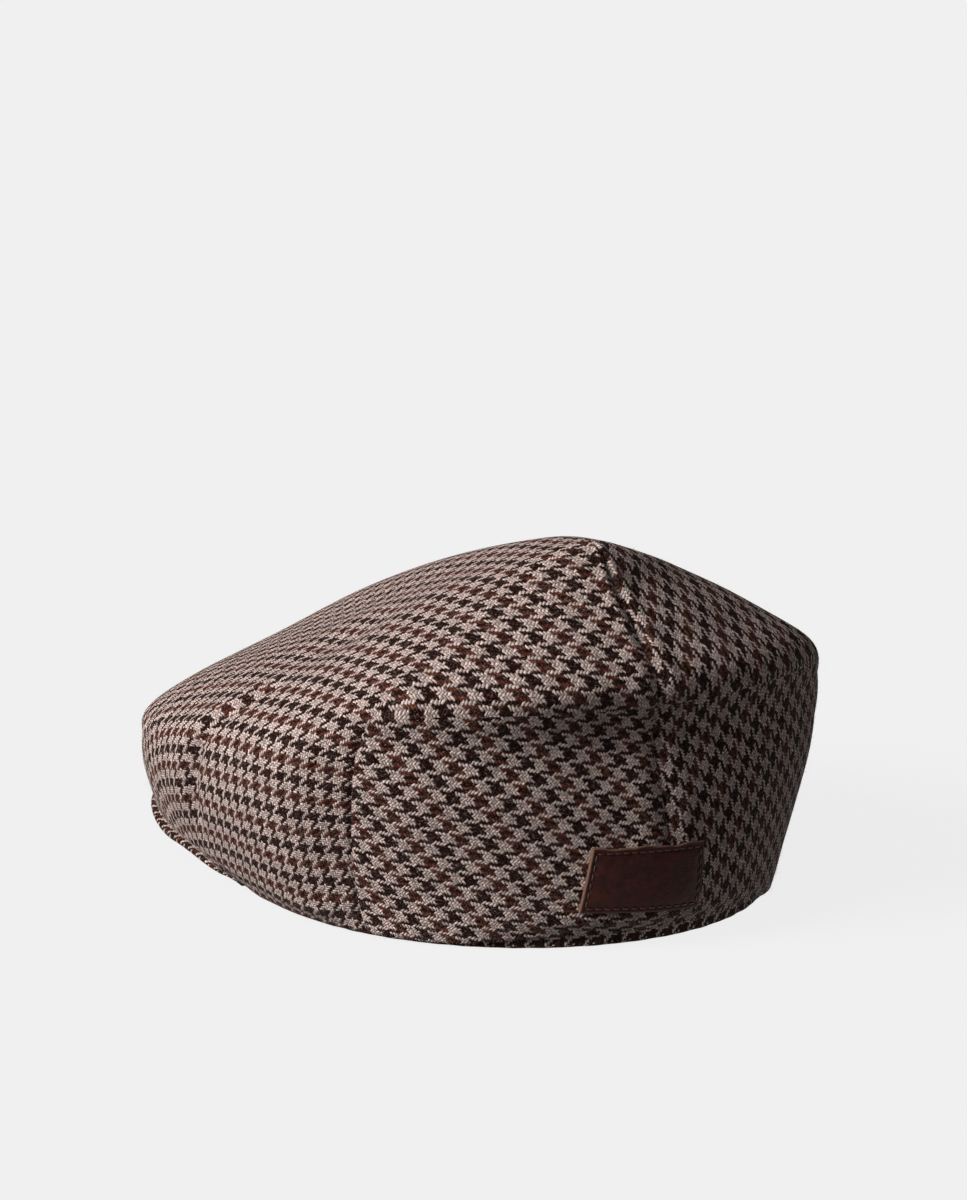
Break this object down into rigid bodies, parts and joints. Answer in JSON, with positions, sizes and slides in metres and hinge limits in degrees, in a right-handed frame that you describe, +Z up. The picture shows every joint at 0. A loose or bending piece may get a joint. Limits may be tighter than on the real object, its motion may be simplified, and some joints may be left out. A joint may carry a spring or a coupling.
{
  "type": "flat cap",
  "caption": "Soft tweed flat cap with a sloping hollow crown, short stiff peak, turned hem and blank leather patch at the back.",
  "frame": {"origin": "below the middle of the cap, front to back and side to side, on the plane that the hem rests on", "axes": "+Z up out of the crown, -Y out of the peak, +X to the wearer's left"},
  "size_m": [0.2222, 0.254, 0.1283],
  "materials": {
    "houndstooth_tweed": "woollen houndstooth tweed",
    "turned_tweed_hem": "woollen houndstooth tweed, turned edge",
    "brown_leather": "waxed brown leather with a raw cut edge"
  },
  "bodies": {
    "root": {"crown": "houndstooth_tweed", "peak": "houndstooth_tweed", "hem_band": "turned_tweed_hem", "patch": "brown_leather"}
  },
  "joints": []
}
